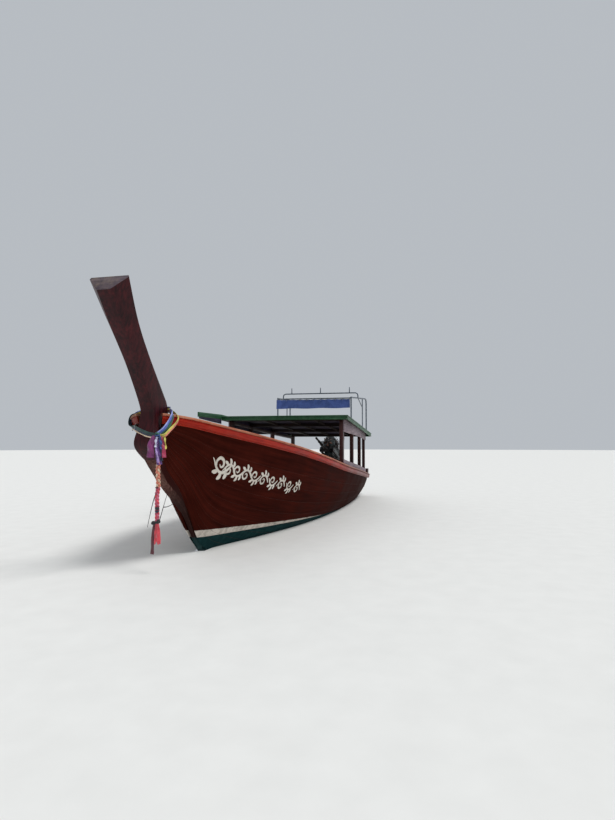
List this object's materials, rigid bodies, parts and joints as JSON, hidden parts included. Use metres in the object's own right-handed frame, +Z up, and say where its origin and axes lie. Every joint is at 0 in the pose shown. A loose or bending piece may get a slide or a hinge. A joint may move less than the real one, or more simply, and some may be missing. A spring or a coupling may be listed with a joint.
{
  "type": "longtail boat",
  "caption": "Wooden longtail boat with a tall raked prow, planked hull, open roofed cabin, roof rack and a swivelling stern engine on a long propeller shaft.",
  "frame": {"origin": "on the centreline at the waterline, at the middle of the hull", "axes": "+X towards the bow, +Y to port, +Z up from the waterline"},
  "size_m": [14.6953, 2.5544, 3.4283],
  "materials": {
    "hull_varnish": "dark red-brown gloss paint over planks, worn",
    "prow_varnish": "dark red-brown varnish, worn edges",
    "rail_paint": "orange-red gloss paint on timber, faded",
    "cap_wood": "faded paint worn to the wood",
    "bare_wood": "weathered hardwood, oiled",
    "grey_wood": "sun-bleached mauve-grey paint",
    "post_wood": "dark brown paint",
    "roof_paint": "green gloss paint on boards, weathered",
    "tube_steel": "dull galvanised tube",
    "iron": "black paint, rust at edges",
    "engine_iron": "grey-green engine paint, oily",
    "bronze": "cast bronze, tarnished",
    "canvas": "blue woven canvas",
    "sash_cloth": "bright cotton and satin cloth"
  },
  "bodies": {
    "boat": {"bottom_planking_port": "hull_varnish", "topside_planking_port": "hull_varnish", "rub_rail_port": "rail_paint", "cap_rail_port": "cap_wood", "posts_port": "post_wood", "header_board_port": "grey_wood", "sill_board_port": "grey_wood", "rack_side_port": "tube_steel", "bottom_planking_starboard": "hull_varnish", "topside_planking_starboard": "hull_varnish", "rub_rail_starboard": "rail_paint", "cap_rail_starboard": "cap_wood", "posts_starboard": "post_wood", "header_board_starboard": "grey_wood", "sill_board_starboard": "grey_wood", "rack_side_starboard": "tube_steel", "keel": "hull_varnish", "stem": "hull_varnish", "prow": "prow_varnish", "transom": "hull_varnish", "ribs_aft": "bare_wood", "ribs_middle": "bare_wood", "ribs_fore": "bare_wood", "sole_boards": "bare_wood", "foredeck": "bare_wood", "aft_deck": "bare_wood", "thwarts": "bare_wood", "mooring_bitt": "post_wood", "roof_panel_fore": "roof_paint", "roof_panel_aft": "roof_paint", "roof_fascia": "roof_paint", "roof_framing": "bare_wood", "roof_edge_board": "roof_paint", "rack_hoop": "tube_steel", "rack_bar": "tube_steel", "rack_canvas": "canvas", "sash_band": "sash_cloth", "sash_tails": "sash_cloth", "engine_beam": "post_wood", "pivot_plate": "iron"},
    "swivel": {"swivel_yoke": "iron"},
    "engine": {"engine_cradle": "iron", "engine_block": "engine_iron", "cylinder_head": "iron", "front_pulleys": "iron", "alternator": "tube_steel", "air_filter": "iron", "exhaust": "iron", "tiller": "iron", "shaft_tube": "iron"},
    "propeller": {"propeller": "bronze"}
  },
  "joints": [
    {"name": "engine_swivel", "type": "hinge", "parent": "boat", "child": "swivel", "pos_m": [-4.95, 0, 0.95], "axis": [0, 0, 1], "range_deg": [-28, 36]},
    {"name": "engine_tilt", "type": "hinge", "parent": "swivel", "child": "engine", "pos_m": [-4.95, 0, 0.95], "axis": [0.0698, 0.9976, 0], "range_deg": [-3, 21]},
    {"name": "propeller_spin", "type": "hinge", "parent": "engine", "child": "propeller", "pos_m": [-8.42228, 0.24281, -0.12161], "axis": [0.9432, -0.066, 0.3256], "continuous": true}
  ]
}
